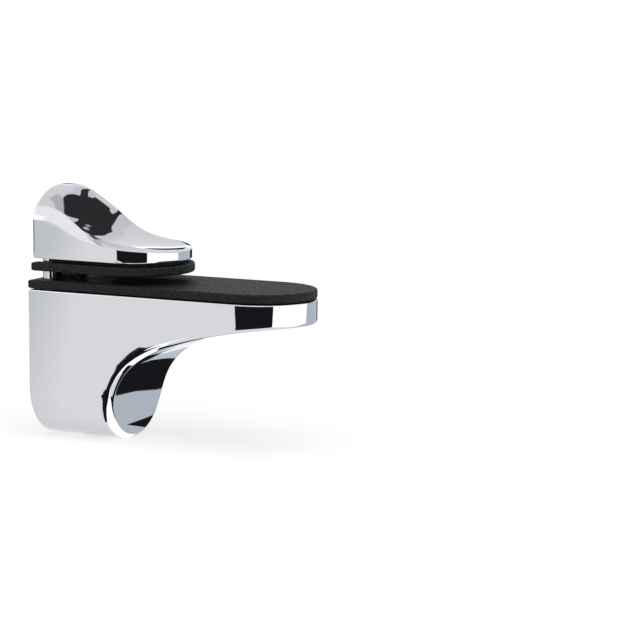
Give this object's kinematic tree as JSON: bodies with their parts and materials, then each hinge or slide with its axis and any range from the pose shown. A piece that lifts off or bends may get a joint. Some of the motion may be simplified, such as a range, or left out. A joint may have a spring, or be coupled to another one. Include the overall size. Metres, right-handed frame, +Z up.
{
  "type": "adjustable glass shelf clip",
  "caption": "Chromed wall clip that clamps a glass shelf between rubber pads, with a swooping lower body, a scooped upper jaw on a sliding stem, and a captive screw turned from below.",
  "frame": {"origin": "middle of the wall plate's back face, half way between its two screw holes", "axes": "+Y into the wall, -Y out along the clip, +Z up, +X to the right seen from the front"},
  "size_m": [0.028, 0.075, 0.0658],
  "materials": {
    "chrome": "mirror polished chrome on a zinc casting",
    "rubber": "matt black, fine grain",
    "zinc_steel": "dull zinc plating"
  },
  "bodies": {
    "base": {"lower_body": "chrome", "lower_pad": "rubber", "wall_plate": "zinc_steel", "lock_screw": "zinc_steel"},
    "jaw": {"upper_jaw": "chrome", "upper_pad": "rubber"},
    "screw": {"clamp_screw": "zinc_steel", "retaining_ring": "zinc_steel"}
  },
  "joints": [
    {"name": "jaw_slide", "type": "slide", "parent": "base", "child": "jaw", "axis": [0, 0, 1], "range_m": [-0.002, 0.0176]},
    {"name": "screw_turn", "type": "hinge", "parent": "base", "child": "screw", "pos_m": [0, -0.013, 0], "axis": [0, 0, 1], "range_deg": [-7925, 905]}
  ],
  "couplings": [
    {"joint": "screw_turn", "follows": "jaw_slide", "rad_per_m": -7854}
  ]
}
